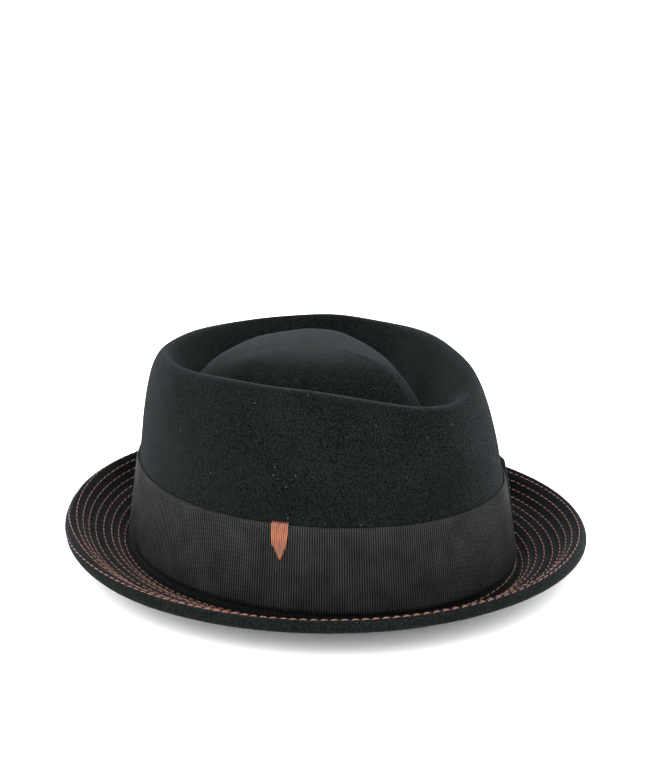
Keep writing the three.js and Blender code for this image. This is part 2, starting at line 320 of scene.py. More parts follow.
class NodeHand:
    """Lays out the nodes of one material."""

    def __init__(self, name: str) -> None:
        """Starts a material whose only nodes are its shader and output."""
        self.material = bpy.data.materials.new(name)
        self.material.use_nodes = True
        self.nodes = self.material.node_tree.nodes
        self.links = self.material.node_tree.links
        self.shader = self.nodes["Principled BSDF"]

    def put(self, socket: bpy.types.NodeSocket, value: object) -> None:
        """Links a socket to another, or sets it to a plain value."""
        if isinstance(value, bpy.types.NodeSocket):
            self.links.new(value, socket)
        else:
            socket.default_value = value

    def add(
        self, kind: str, inputs: dict[object, object] | None = None, **settings: object
    ) -> bpy.types.Node:
        """Adds a node.

        Args:
            kind: the node's type.
            inputs: values or sockets by the name or number of an input.
            settings: the node's own settings.

        Returns:
            The node.
        """
        node = self.nodes.new(kind)
        for key, value in settings.items():
            setattr(node, key, value)
        for key, value in (inputs or {}).items():
            self.put(node.inputs[key], value)
        return node

    def math(self, operation: str, a: object, b: object = 0.0) -> bpy.types.NodeSocket:
        """One arithmetic step on two values or sockets."""
        return self.add("ShaderNodeMath", {0: a, 1: b}, operation=operation).outputs[0]

    def total(self, *parts: tuple[bpy.types.NodeSocket, float]) -> bpy.types.NodeSocket:
        """The sum of some values, each times its own share."""
        scaled = [self.math("MULTIPLY", value, share) for value, share in parts]
        found = scaled[0]
        for value in scaled[1:]:
            found = self.math("ADD", found, value)
        return found

    def noise(self, place: bpy.types.NodeSocket, grain: Grain) -> bpy.types.NodeSocket:
        """A noise of the given grain at a place."""
        inputs = {"Vector": place, "Scale": grain.scale, "Detail": grain.detail, "Roughness": grain.rough}
        return self.add("ShaderNodeTexNoise", inputs).outputs["Fac"]

    def ramp(self, value: bpy.types.NodeSocket, low: float, high: float) -> bpy.types.NodeSocket:
        """The value spread from 0 at low to 1 at high."""
        inputs = {"Value": value, "From Min": low, "From Max": high}
        return self.add("ShaderNodeMapRange", inputs, interpolation_type="SMOOTHSTEP").outputs[0]

    def mix(self, share: object, a: object, b: object, blend: str = "MIX") -> bpy.types.NodeSocket:
        """One colour mixed into another."""
        node = self.add("ShaderNodeMix", data_type="RGBA", blend_type=blend)
        for key, value in (("Factor", share), ("A", a), ("B", b)):
            socket = next(s for s in node.inputs if s.name == key and s.enabled)
            self.put(socket, value)
        return next(s for s in node.outputs if s.enabled)

    def bump(self, height: bpy.types.NodeSocket, depth: float, strength: float) -> bpy.types.NodeSocket:
        """A bump of the given depth in metres."""
        inputs = {"Height": height, "Distance": depth, "Strength": strength}
        return self.add("ShaderNodeBump", inputs).outputs[0]

    def finished(self, values: dict[str, object]) -> bpy.types.Material:
        """Sets or links the shader's own sockets by name, and gives the material."""
        for name, value in values.items():
            self.put(self.shader.inputs[name], value)
        return self.material

    def object_place(self) -> bpy.types.NodeSocket:
        """The place on the piece, in metres."""
        return self.add("ShaderNodeTexCoord").outputs["Object"]


@dataclass(frozen=True)
class FeltFinish:
    """Black felt: very matt, with a short nap, a soft bloom at grazing angles and specks of lint."""

    deep: tuple[float, ...] = (0.0003, 0.0004, 0.0004, 1.0)
    pale: tuple[float, ...] = (0.0108, 0.0129, 0.0133, 1.0)
    lint: tuple[float, ...] = (0.15, 0.145, 0.135, 1.0)
    bloom: tuple[float, ...] = (0.62, 0.72, 0.76, 1.0)
    bloom_weight: float = 0.086
    bloom_roughness: float = 0.22
    roughness: float = 0.95
    shine: float = 0.015
    fibre: Grain = Grain(1550.0, 3.0, 0.75)
    nap: Grain = Grain(2300.0, 3.0, 0.6)
    cloud: Grain = Grain(45.0, 3.0, 0.5)
    streak: Grain = Grain(1900.0, 3.0, 0.7)
    streak_squash: float = 0.45
    fibre_share: float = 0.54
    cloud_share: float = 0.06
    streak_share: float = 0.4
    contrast: tuple[float, float] = (0.39, 0.64)
    nap_share: float = 0.3
    nap_depth: float = 0.0009
    nap_strength: float = 0.9
    speck_scale: float = 200.0
    speck_size: float = 0.042
    speck_rarity: float = 0.45
    speck_cover: float = 0.8
    # How much darker the stitched top of the brim is made: partly its pressed felt, partly painted shade.
    pressed_and_shade_dark: float = 0.8

    def material(self) -> bpy.types.Material:
        """Builds the felt from four noises, a speck pattern and the attribute that darkens the stitched brim,
        partly for its pressed felt and partly as painted shade.
        """
        hand = NodeHand("black_felt")
        place = hand.object_place()
        fibres, nap, clouds = (hand.noise(place, g) for g in (self.fibre, self.nap, self.cloud))
        squash = (1.0, 1.0, self.streak_squash)
        upright = hand.add("ShaderNodeMapping", {"Vector": place, "Scale": squash}).outputs[0]
        streaks = hand.noise(upright, self.streak)
        mixed = hand.total(
            (fibres, self.fibre_share), (clouds, self.cloud_share), (streaks, self.streak_share)
        )
        colour = hand.mix(hand.ramp(mixed, *self.contrast), self.deep, self.pale)
        # Painted shade: the stitched top of the brim is darkened, partly for its pressed felt and partly as
        # painted shade.
        pressed_and_shade = hand.add("ShaderNodeAttribute", attribute_name="pressed_and_shade").outputs["Fac"]
        dark = hand.math("SUBTRACT", 1.0, hand.math("MULTIPLY", pressed_and_shade, self.pressed_and_shade_dark))
        shade = hand.add("ShaderNodeCombineColor", {0: dark, 1: dark, 2: dark}).outputs[0]
        colour = hand.mix(1.0, colour, shade, "MULTIPLY")
        pattern = {"Vector": place, "Scale": self.speck_scale, "Randomness": 1.0}
        specks = hand.add("ShaderNodeTexVoronoi", pattern)
        near = hand.math("LESS_THAN", specks.outputs["Distance"], self.speck_size)
        few = hand.add("ShaderNodeSeparateColor", {0: specks.outputs["Color"]}).outputs[0]
        lint = hand.math("MULTIPLY", near, hand.math("GREATER_THAN", few, self.speck_rarity))
        colour = hand.mix(hand.math("MULTIPLY", lint, self.speck_cover), colour, self.lint)
        height = hand.total((fibres, 1 - self.nap_share), (nap, self.nap_share))
        return hand.finished({
            "Base Color": colour,
            "Normal": hand.bump(height, self.nap_depth, self.nap_strength),
            "Roughness": self.roughness,
            "Specular IOR Level": self.shine,
            "Sheen Weight": self.bloom_weight,
            "Sheen Roughness": self.bloom_roughness,
            "Sheen Tint": self.bloom,
        })


@dataclass(frozen=True)
class GrosgrainFinish:
    """Charcoal grosgrain: cords across the ribbon, each beaded by the fine warp that crosses it, with painted
    shade in the hollows between cords and beads.
    """

    # The hollows' colour is painted shade; crown is the ribbon's own charcoal.
    shaded_hollow: tuple[float, ...] = (0.0004, 0.0004, 0.0004, 1.0)
    crown: tuple[float, ...] = (0.0425, 0.0445, 0.0428, 1.0)
    roughness: float = 0.52
    shine: float = 0.05
    bloom_weight: float = 0.008
    bloom_roughness: float = 0.4
    bead_pitch: float = 0.62
    bead_share: float = 0.8
    drift: Grain = Grain(90.0, 3.0, 0.6)
    drift_lift: float = 0.6
    contrast: tuple[float, float] = (0.45, 1.0)
    relief_depth: float = 0.00012
    relief_strength: float = 0.6

    def material(self) -> bpy.types.Material:
        """Builds the weave on the ribbon's own map: u counts cords, v is millimetres across."""
        hand = NodeHand("grosgrain")
        weave = hand.add("ShaderNodeUVMap", uv_map="weave").outputs[0]
        parts = hand.add("ShaderNodeSeparateXYZ", {0: weave})
        cord, across = parts.outputs[0], parts.outputs[1]
        phase = hand.math("MULTIPLY", hand.math("FRACT", cord), math.pi)
        ridge = hand.math("SINE", phase)
        odd = hand.math("MULTIPLY", hand.math("FLOOR", cord), math.pi)
        turn = hand.math("ADD", hand.math("MULTIPLY", across, 2 * math.pi / self.bead_pitch), odd)
        bead = hand.math("ADD", hand.math("MULTIPLY", hand.math("SINE", turn), 0.5), 0.5)
        drift = hand.noise(hand.object_place(), self.drift)
        beaded = hand.math("ADD", hand.math("MULTIPLY", bead, self.bead_share), 1 - self.bead_share)
        share = hand.math("MULTIPLY", ridge, beaded)
        share = hand.math("MULTIPLY", share, hand.math("ADD", drift, self.drift_lift))
        relief = hand.math("MULTIPLY", ridge, bead)
        # Painted shade: the base colour falls to near black in the hollows between cords and beads; the drift
        # noise is a random tone.
        return hand.finished({
            "Base Color": hand.mix(hand.ramp(share, *self.contrast), self.shaded_hollow, self.crown),
            "Normal": hand.bump(relief, self.relief_depth, self.relief_strength),
            "Roughness": self.roughness,
            "Specular IOR Level": self.shine,
            "Sheen Weight": self.bloom_weight,
            "Sheen Roughness": self.bloom_roughness,
        })


@dataclass(frozen=True)
class ThreadFinish:
    """Satin sewing thread, whose plies wind round it, with painted shade in the hollows between the plies."""

    name: str
    shaded_hollow: tuple[float, ...]
    crown: tuple[float, ...]
    roughness: float = 0.42
    bloom_weight: float = 0.02
    plies: float = 2.0
    ply_share: float = 0.65
    grain: Grain = Grain(700.0, 2.0, 0.5)
    contrast: tuple[float, float] = (0.15, 0.85)
    relief_depth: float = 0.00008
    relief_strength: float = 0.5

    def material(self) -> bpy.types.Material:
        """Builds the thread on its own map: u runs along it in turns of the ply, v goes round it once."""
        hand = NodeHand(self.name)
        weave = hand.add("ShaderNodeUVMap", uv_map="weave").outputs[0]
        parts = hand.add("ShaderNodeSeparateXYZ", {0: weave})
        wound = hand.math("ADD", parts.outputs[0], hand.math("MULTIPLY", parts.outputs[1], self.plies))
        ridge = hand.math("ABSOLUTE", hand.math("SINE", hand.math("MULTIPLY", wound, math.pi)))
        grain = hand.noise(hand.object_place(), self.grain)
        share = hand.total((ridge, self.ply_share), (grain, 1 - self.ply_share))
        # Painted shade: the base colour darkens in the hollows between the plies; the grain noise is a random
        # tone.
        return hand.finished({
            "Base Color": hand.mix(hand.ramp(share, *self.contrast), self.shaded_hollow, self.crown),
            "Normal": hand.bump(ridge, self.relief_depth, self.relief_strength),
            "Roughness": self.roughness,
            "Sheen Weight": self.bloom_weight,
        })


@dataclass
class FeltBody:
    """The blocked felt cap: dome, groove, crest, wall and brim in one hollow piece."""

    oval: HeadOval
    thickness: float = 2.6
    crest_height: float = 107.5
    crest_dip: Ends = Ends(12.6, 0.4, 4.0)
    crest_dip_power: float = 3.1
    crest: Ends = Ends(82.4, 61.4, 80.4)
    crest_radius: float = 3.6
    crest_pinch: float = 0.09
    shoulder_reach: float = 6.0
    shoulder_drop: float = 6.1
    wall_bulge: float = 1.3
    dome_rise: float = 3.0
    dome: Ends = Ends(61.0, 48.0, 58.0)
    dome_pinch: float = 0.62
    groove_depth: float = 20.0
    brim_reach: Ends = Ends(30.4, 35.0, 25.3)
    lip: Ends = Ends(20.9, 18.9, 26.4)
    seat_rise: Ends = Ends(0.0, 0.0, 5.6)
    roll_thickness: float = 3.5
    roll_start: float = 0.6
    roll_full: float = 0.96
    roll_ahead: float = 1.7
    break_radius: float = 4.0
    seat_depth: float = 0.12
    unevenness: float = 0.35
    uneven_seed: int = 5
    calm_dome: float = 45.0
    calm_ribbon: float = 15.0
    furrow_depth: float = 0.28
    furrow_width: float = 0.85
    columns: int = 320
    spacing: float = 1.35
    brim_spacing: float = 0.75
    lip_rows: int = 7
    under_step: int = 3

    DOME_ROWS = (
        Row(0, 0), Row(0.25, 0.012), Row(0.5, 0.06), Row(0.7, 0.16), Row(0.85, 0.33), Row(0.96, 0.56),
        Row(1.06, 0.85),
    )
    GROOVE_ROWS = (Row(0.14, 1), Row(0.3, 0.88), Row(0.5, 0.57), Row(0.7, 0.24), Row(0.87, 0.04))
    CREST_ROWS = (Row(0, 0), Row(0.7, 0.2))
    WALL_ROWS = (Row(0, 0), Row(0.9, 0.2), Row(1, 0.5), Row(0.4, 0.8))
    BREAK_ROWS = (Row(0, 1), Row(0.2, 0.4), Row(0.55, 0.06))
    BRIM_ROWS = (
        Row(0.14, 0), Row(0.25, 0.17), Row(0.37, 0.3), Row(0.49, 0.37), Row(0.6, 0.42), Row(0.7, 0.53),
        Row(0.8, 0.71), Row(0.9, 0.89), Row(1, 1),
    )

    def ring(
        self, ends: Ends, pinch: float, azimuth: np.ndarray, z: np.ndarray, size: float = 1.0
    ) -> np.ndarray:
        """A teardrop ring, narrower at the front by its pinch.

        x = side * sin a * (1 - pinch * cos a), scaled to its widest, and y = -length * cos a, where
        the length blends from back to front by s * s * (3 - 2 s) with s = (1 + cos a) / 2.

        Args:
            ends: the half sizes to the front, the sides and the back.
            pinch: how much narrower the front is.
            azimuth: angles in radians.
            z: heights above the table.
            size: a scale of the ring about the middle of the hat.

        Returns:
            The ring's points.
        """
        turn = np.cos(azimuth)
        share = (1 + turn) / 2
        length = ends.back + (ends.front - ends.back) * share**2 * (3 - 2 * share)
        widest = (1 - math.sqrt(1 + 8 * pinch * pinch)) / (4 * pinch)
        full = math.sqrt(1 - widest**2) * (1 - pinch * widest)
        x = ends.side * np.sin(azimuth) * (1 - pinch * turn) / full
        return np.stack(np.broadcast_arrays(x * size, -length * turn * size, z), -1)

    def knots(self, azimuth: np.ndarray) -> tuple[np.ndarray, int]:
        """The knots of the top skin at each azimuth, from the middle of the dome to the lip.

        Args:
            azimuth: angles in radians.

        Returns:
            The knots, and the number of the one at the ribbon's foot.
        """
        crest_z = self.crest_height - self.crest_dip.at(azimuth, self.crest_dip_power)
        floor_z = crest_z - self.groove_depth
        dome_z = self.crest_height + self.dome_rise

        def on_dome(size: float, z: np.ndarray) -> np.ndarray:
            """The dome's ring at a size and height."""
            return self.ring(self.dome, self.dome_pinch, azimuth, z, size)

        def on_crest(out: float, drop: float) -> np.ndarray:
            """The ridge's ring, moved out and down."""
            return self.ring(self.crest.grown(out), self.crest_pinch, azimuth, crest_z - drop)

        found = [on_dome(r.out, dome_z - r.drop * (dome_z - floor_z)) for r in self.DOME_ROWS]
        inner, outer = on_dome(self.DOME_ROWS[-1].out, crest_z), on_crest(0, 0)
        for row in self.GROOVE_ROWS:
            point = inner + (outer - inner) * row.out
            found.append(point - (0, 0, row.drop * self.groove_depth))
        found += [on_crest(r.out * self.crest_radius, r.drop * self.crest_radius) for r in self.CREST_ROWS]
        shoulder = on_crest(self.shoulder_reach, self.shoulder_drop)
        ribbon_top = self.oval.wall(azimuth, self.oval.ribbon_height)
        for row in self.WALL_ROWS:
            point = shoulder + (ribbon_top - shoulder) * row.drop
            outward = unit(point * (1, 1, 0))
            found.append(point + outward * row.out * self.wall_bulge)
        found += [ribbon_top, self.oval.wall(azimuth, self.oval.ribbon_height / 2)]
        foot = len(found)
        seat = self.thickness + self.seat_rise.at(azimuth)
        for row in self.BREAK_ROWS:
            out, rise = row.out * self.break_radius, row.drop * self.break_radius
            found.append(self.oval.point(azimuth, out, seat + rise))
        reach = self.brim_reach.at(azimuth)
        rise = self.lip.at(azimuth) - seat
        for row in self.BRIM_ROWS:
            found.append(self.oval.point(azimuth, row.out * reach, seat + row.drop * rise))
        return np.array(found), foot

    def skins(self, azimuth: np.ndarray, brim_spacing: float) -> tuple[np.ndarray, np.ndarray, int]:
        """The closed profile at each azimuth: top skin, round lip, and the underside one thickness in.

        The top skin swells and sinks by a field of waves, which fades out at the middle of the dome
        and at the ribbon. The felt thickens towards the lip by s * s * (3 - 2 s), where s runs from 0
        at roll_start to 1 at roll_full. The underside within seat_depth of the table lies flat on it.

        Args:
            azimuth: angles in radians, evenly spaced round the whole hat.
            brim_spacing: the distance between rows of points on the brim.

        Returns:
            The points, rows x azimuths x 3, how far each lies along the brim from the ribbon's
            foot, and the number of rows in the top skin.
        """
        knots, foot = self.knots(azimuth)
        gaps = np.linalg.norm(np.diff(knots, axis=0), axis=-1).mean(1)
        fine = np.where(np.arange(len(gaps)) < foot, self.spacing, brim_spacing)
        top, at = catmull_rom(knots, np.maximum(2, np.ceil(gaps / fine)).astype(int))
        normal = grid_normals(top)
        normal[0] = (0, 0, 1)
        run = lengths_along(top)
        swell = waves(np.broadcast_to(azimuth, run.shape), run, self.uneven_seed) * self.unevenness
        near_ribbon = np.clip((run[at[foot - 2]] - run) / self.calm_ribbon, 0, 1)
        quiet = np.clip(run / self.calm_dome, 0, 1) ** 2 * near_ribbon
        last_step = top[-1] - top[-2]
        top = top + normal * (swell * quiet)[..., None]
        onto_roll = np.clip((run - run[at[foot]]) / (run[-1] - run[at[foot]]), 0, 1)
        onto_roll = np.clip((onto_roll - self.roll_start) / (self.roll_full - self.roll_start), 0, 1)
        thick = self.thickness + self.roll_thickness * onto_roll**2 * (3 - 2 * onto_roll)
        under = top - normal * thick[..., None]
        under[..., 2] = np.where(under[..., 2] < self.seat_depth, 0, under[..., 2])
        middle, half = (top[-1] + under[-1]) / 2, (top[-1] - under[-1]) / 2
        ahead = unit(last_step) * self.roll_ahead
        angle = (np.pi * np.arange(1, self.lip_rows + 1) / (self.lip_rows + 1))[:, None, None]
        edge = middle + np.cos(angle) * half + np.sin(angle) * ahead
        closed = np.concatenate([top, edge, under[::-1]])
        brim_run = lengths_along(closed)
        brim_run -= brim_run[at[foot]]
        return closed, brim_run, len(top)

    def build(self, finish: FeltFinish, seams: "StitchPath") -> bpy.types.Object:
        """Makes the felt cap, with a furrow under each row of stitches.

        The furrow is furrow_depth * exp(-(away / furrow_width) ** 2) deep, away from its row.

        Args:
            finish: the felt's finish.
            seams: the spiral of stitches, which gives each point's distance from the nearest row.

        Returns:
            The cap.
        """
        azimuth = np.arange(self.columns) / self.columns * 2 * np.pi
        points, run, top_rows = self.skins(azimuth, self.brim_spacing)
        # Every row of the top and the lip stays, and one in under_step of the underside.
        outer_rows = top_rows + self.lip_rows
        keep = np.r_[0:outer_rows, outer_rows:len(points):self.under_step]
        keep = np.unique(np.r_[keep, len(points) - 1])
        normal = grid_normals(points)
        normal[0], normal[-1] = (0, 0, 1), (0, 0, -1)
        away, stitched = seams.distance(np.broadcast_to(azimuth, run.shape), run)
        furrow = np.exp(-((away / self.furrow_width) ** 2)) * stitched
        points = points - normal * (furrow * self.furrow_depth)[..., None]
        # The stitched top of the brim is marked to be darkened in the felt, partly for its pressed felt and
        # partly as painted shade.
        pressed_and_shade = stitched * (np.arange(len(points)) < top_rows)[:, None]
        points, pressed_and_shade = points[keep], pressed_and_shade[keep]
        rows, columns = points.shape[:2]
        body = points[1:-1].reshape(-1, 3)
        vertices = np.concatenate([points[:1, 0], body, points[-1:, 0]])
        values = np.concatenate([pressed_and_shade[0, :1], pressed_and_shade[1:-1].ravel(), pressed_and_shade[-1, :1]])
        quads = grid_faces(rows - 2, columns, close_columns=True) + 1
        ring = np.arange(columns)
        beside = (ring + 1) % columns
        first, last = 1 + ring, 1 + (rows - 3) * columns
        fans = np.concatenate([
            np.stack([np.zeros_like(ring), first, 1 + beside], -1),
            np.stack([last + ring, np.full_like(ring, len(vertices) - 1), last + beside], -1),
        ])
        cap = mesh_object("felt_cap", vertices, [quads, fans], attributes={"pressed_and_shade": values})
        return dress(cap, finish.material(), Slot.FELT, "felt_body")


@dataclass
class StitchPath:
    """The one spiral that the brim's stitching follows, from the ribbon's foot to the lip.

    The row number of a point is (run - start + sway * cos(azimuth - lead)) / pitch, less the turns from
    the lead to its azimuth, so each whole number is a pass of the needle, and one turn of the hat
    takes the seam one pitch outwards.
    """

    start: float = 2.9
    pitch: float = 4.2
    sway: float = 1.0
    lead_degrees: float = 38.0
    first_turn: float = -0.05
    last_turn: float = 9.62

    def turn_of(self, azimuth: np.ndarray) -> np.ndarray:
        """The share of a turn from the lead to each azimuth, from -0.25 to 0.75."""
        degrees = np.degrees(azimuth)
        return (self.lead_degrees - degrees + 90) % 360 / 360 - 0.25

    def run_at(self, turn: np.ndarray) -> np.ndarray:
        """How far along the brim the seam lies after a number of turns."""
        return self.start + self.pitch * turn - self.sway * np.cos(2 * np.pi * turn)

    def distance(self, azimuth: np.ndarray, run: np.ndarray) -> tuple[np.ndarray, np.ndarray]:
        """How far points of the brim lie from the nearest row, and whether they are stitched.

        Args:
            azimuth: angles in radians.
            run: distances along the brim from the ribbon's foot.

        Returns:
            The distances in millimetres, and a share from 0 off the stitching to 1 on it.
        """
        sway = self.sway * np.cos(azimuth - math.radians(self.lead_degrees))
        turns = (run - self.start + sway) / self.pitch
        row = turns - self.turn_of(azimuth)
        away = np.abs(row - np.round(row)) * self.pitch
        inside = np.clip(turns - self.first_turn + 0.5, 0, 1) * np.clip(self.last_turn + 0.5 - turns, 0, 1)
        return away, inside


@dataclass
class BrimStitching:
    """Rows of running stitch in copper thread: short twisted strands that dip in at both ends."""

    felt: FeltBody
    path: StitchPath
    stitch: float = 4.6
    gap: float = 1.35
    radius: float = 0.24
    ply_depth: float = 0.14
    lay: float = 1.6
    slant: float = 0.16
    sides: int = 6
    rings: int = 7
    steps_per_turn: int = 720
    row_spacing: float = 0.25
    run_in: float = 2.0
    seed: int = 11
    start_jitter: float = 0.12
    length_jitter: float = 0.25
    slant_jitter: float = 0.06

    def surface(self) -> tuple[np.ndarray, np.ndarray]:
        """The seam on the felt, found at each step by how far along the brim it lies.

        Returns:
            Points of the seam's spiral, and the felt's normals there.
        """
        columns = self.steps_per_turn
        azimuth = np.arange(columns) / columns * 2 * np.pi
        points, run, _ = self.felt.skins(azimuth, self.row_spacing)
        brim = run[:, 0] > -self.run_in
        points, run = points[brim], run[brim]
        normal = grid_normals(points)
        turn = np.arange(self.path.first_turn, self.path.last_turn, 1 / columns)
        column = np.round((self.path.lead_degrees / 360 - turn) * columns).astype(int) % columns
        want = self.path.run_at(turn)
        seam, faces = np.empty((len(turn), 3)), np.empty((len(turn), 3))
        for k in range(columns):
            here = column == k
            for axis in range(3):
                seam[here, axis] = np.interp(want[here], run[:, k], points[:, k, axis])
                faces[here, axis] = np.interp(want[here], run[:, k], normal[:, k, axis])
        return seam, unit(faces)

    def build(self, finish: ThreadFinish) -> bpy.types.Object:
        """Makes every stitch as one joined mesh.

        A strand's ring at share t lies radius * (1.5 * sin(pi t) ** 0.6 - 0.6) above the felt, and is
        0.45 + 0.55 * sin(pi t) ** 0.5 of the full radius. The plies wind once in each lay.

        Args:
            finish: the thread's finish.

        Returns:
            The stitching.
        """
        seam, faces = self.surface()
        run = lengths_along(seam)
        count = int(run[-1] // self.stitch)
        draw = np.random.default_rng(self.seed)
        starts = np.arange(count) * self.stitch + draw.uniform(-self.start_jitter, self.start_jitter, count)
        length = self.stitch - self.gap + draw.uniform(-self.length_jitter, self.length_jitter, count)
        share = np.linspace(0, 1, self.rings)
        where = starts[:, None] + length[:, None] * share[None]
        centre = np.stack([np.interp(where, run, seam[:, k]) for k in range(3)], -1)
        up = unit(np.stack([np.interp(where, run, faces[:, k]) for k in range(3)], -1))
        ahead = unit(centre[:, -1:] - centre[:, :1]) * np.ones_like(centre)
        aside = unit(np.cross(up, ahead))
        lift = self.radius * (1.5 * np.sin(np.pi * share) ** 0.6 - 0.6)
        slants = self.slant + draw.uniform(-self.slant_jitter, self.slant_jitter, count)
        lean = slants[:, None] * (share - 0.5)[None] * 2
        centre = centre + up * lift[None, :, None] + aside * lean[..., None]
        thick = self.radius * (0.45 + 0.55 * np.sin(np.pi * share) ** 0.5)
        turns = where / self.lay
        points = strand_rings(centre, up, aside, thick, 2 * np.pi * turns, self.sides, self.ply_depth)
        return dress(strands_object("brim_stitching", points, turns), finish.material(), Slot.THREAD)


def strand_rings(
    line: np.ndarray,
    up: np.ndarray,
    aside: np.ndarray,
    thick: np.ndarray,
    wind: np.ndarray,
    sides: int,
    ply_depth: float,
) -> np.ndarray:
    """Rings of points round strands, of radius thick * (1 + ply_depth * cos(2 * angle - wind)).

    Args:
        line: strands x rings x 3, the strands' middles.
        up: the directions of angle 0, at each ring.
        aside: the directions of a quarter turn, at each ring.
        thick: the strand's radius at each ring.
        wind: how far the two plies have wound at each ring, in radians.
        sides: the points in a ring.
        ply_depth: how deep the hollow between the plies is, as a share of the radius.

    Returns:
        Points, strands x rings x sides x 3.
    """
    angle = 2 * np.pi * np.arange(sides) / sides
    size = thick[..., None] * (1 + ply_depth * np.cos(2 * angle - wind[..., None]))
    ring = up[:, :, None] * np.cos(angle)[:, None] + aside[:, :, None] * np.sin(angle)[:, None]
    return line[:, :, None] + ring * size[..., None]


def strands_object(name: str, points: np.ndarray, turns: np.ndarray) -> bpy.types.Object:
    """Joins closed strands into one mesh object.

    Args:
        name: the object's name.
        points: strands x rings x sides x 3.
        turns: strands x rings, the ply's turns run so far, for the map.

    Returns:
        The object.
    """
    count, rings, sides = points.shape[:3]
    first = np.arange(count)[:, None, None] * rings * sides
    quads = (grid_faces(rings, sides, close_columns=True)[None] + first).reshape(-1, 4)
    caps = np.concatenate([
        first[:, 0] + np.arange(sides)[None],
        first[:, 0] + (rings - 1) * sides + np.arange(sides)[None, ::-1],
    ])
    i, j = np.meshgrid(np.arange(rings - 1), np.arange(sides), indexing="ij")
    u = np.stack([turns[:, i], turns[:, i + 1], turns[:, i + 1], turns[:, i]], -1)
    v = np.broadcast_to(np.stack([j, j, j + 1, j + 1], -1) / sides, u.shape)
    quad_uv = np.stack([u, v], -1).reshape(-1, 4, 2)
    cap_uv = np.zeros((len(caps), sides, 2))
    return mesh_object(name, points.reshape(-1, 3), [quads, caps], uv=[quad_uv, cap_uv])


@dataclass(frozen=True)
class Grosgrain:
    """The ribbon's make: its thickness and the cords that cross it."""

    thickness: float = 0.75
    cord_pitch: float = 1.12
    cord_height: float = 0.3
    cord_power: float = 0.7
    back_share: float = 0.4
    edge_width: float = 0.6
    edge_share: float = 0.35
    columns_per_cord: int = 5
    face_rows: int = 13

    def strip(
        self,
        name: str,
        path: Callable[[np.ndarray], tuple[np.ndarray, np.ndarray, np.ndarray]],
        width: float,
        relief: Callable[[np.ndarray, np.ndarray], np.ndarray] | None = None,
    ) -> bpy.types.Object:
        """Carries the ribbon's section round a closed path.

        The cords stand cord_height * sin(pi * f) ** cord_power proud, where f is the share of a cord's
        pitch. Less of them shows on the back, and the ribbon thins to edge_share at its edges.

        Args:
            name: the object's name.
            path: gives the ribbon's middle, its outward side and its width's direction at shares of a turn.
            width: the ribbon's width.
            relief: more height, from shares of a turn and millimetres across.

        Returns:
            The ribbon.
        """
        rough, _, _ = path(np.linspace(0, 1, PATH_SAMPLES))
        cords = int(round(lengths_along(rough)[-1] / self.cord_pitch))
        columns = cords * self.columns_per_cord
        share = np.arange(columns) / columns
        middle, outward, across = path(share)
        cord = self.cord_height * np.sin(np.pi * (share * cords % 1)) ** self.cord_power
        # The rows lie closer together towards the edges, and the back has one in three of them.
        face = np.cos(np.pi * np.arange(self.face_rows) / (self.face_rows - 1)) * (width / 2)
        face = face * 0.5 + np.linspace(1, -1, self.face_rows) * (width / 4)
        inner = face[::-3]
        spread = np.concatenate([face, inner])
        side = np.concatenate([np.ones(len(face)), -np.ones(len(inner))])
        out = self.thickness / 2 + cord[None] * np.where(side > 0, 1.0, self.back_share)[:, None]
        near_edge = np.clip((width / 2 - np.abs(spread)) / self.edge_width, self.edge_share, 1)[:, None]
        out = side[:, None] * out * near_edge
        if relief is not None:
            out = out + relief(np.broadcast_to(share, out.shape), np.broadcast_to(spread[:, None], out.shape))
        points = middle[None] + across[None] * spread[:, None, None] + outward[None] * out[..., None]
        rows = len(spread)
        quads = grid_faces(rows, columns, close_rows=True, close_columns=True)
        i, j = np.meshgrid(np.arange(rows), np.arange(columns), indexing="ij")
        wide = np.concatenate([spread, spread[:1]])
        u = np.stack([j, j, j + 1, j + 1], -1) / self.columns_per_cord
        v = np.stack([wide[i], wide[i + 1], wide[i + 1], wide[i]], -1)
        return mesh_object(name, points.reshape(-1, 3), [quads], uv=[np.stack([u, v], -1)])


